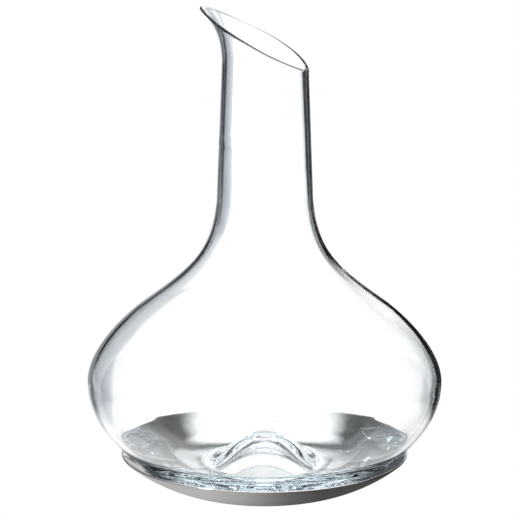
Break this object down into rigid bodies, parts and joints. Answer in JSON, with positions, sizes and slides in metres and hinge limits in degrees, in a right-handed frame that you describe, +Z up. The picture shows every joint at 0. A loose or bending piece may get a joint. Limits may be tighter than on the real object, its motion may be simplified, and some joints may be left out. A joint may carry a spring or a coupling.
{
  "type": "wine decanter",
  "caption": "Clear glass wine decanter with a round belly, a slim neck and a slanted pouring mouth, standing in a shallow steel dish that it lifts out of.",
  "frame": {"origin": "on the table, under the middle of the dish, on the axis of the bowl and neck", "axes": "+Z up along the neck; -X is the side of the pouring tip; the object is the same on both sides of the XZ plane"},
  "size_m": [0.1986, 0.1986, 0.2786],
  "materials": {
    "glass": "clear, fire-polished",
    "steel": "polished inside, satin outside",
    "rubber": "matte"
  },
  "bodies": {
    "coaster": {"dish": "steel", "base_pad": "rubber"},
    "decanter": {"decanter": "glass"}
  },
  "joints": [
    {"name": "decanter_lift", "type": "slide", "parent": "coaster", "child": "decanter", "axis": [0, 0, 1], "range_m": [0, 0.06]}
  ]
}
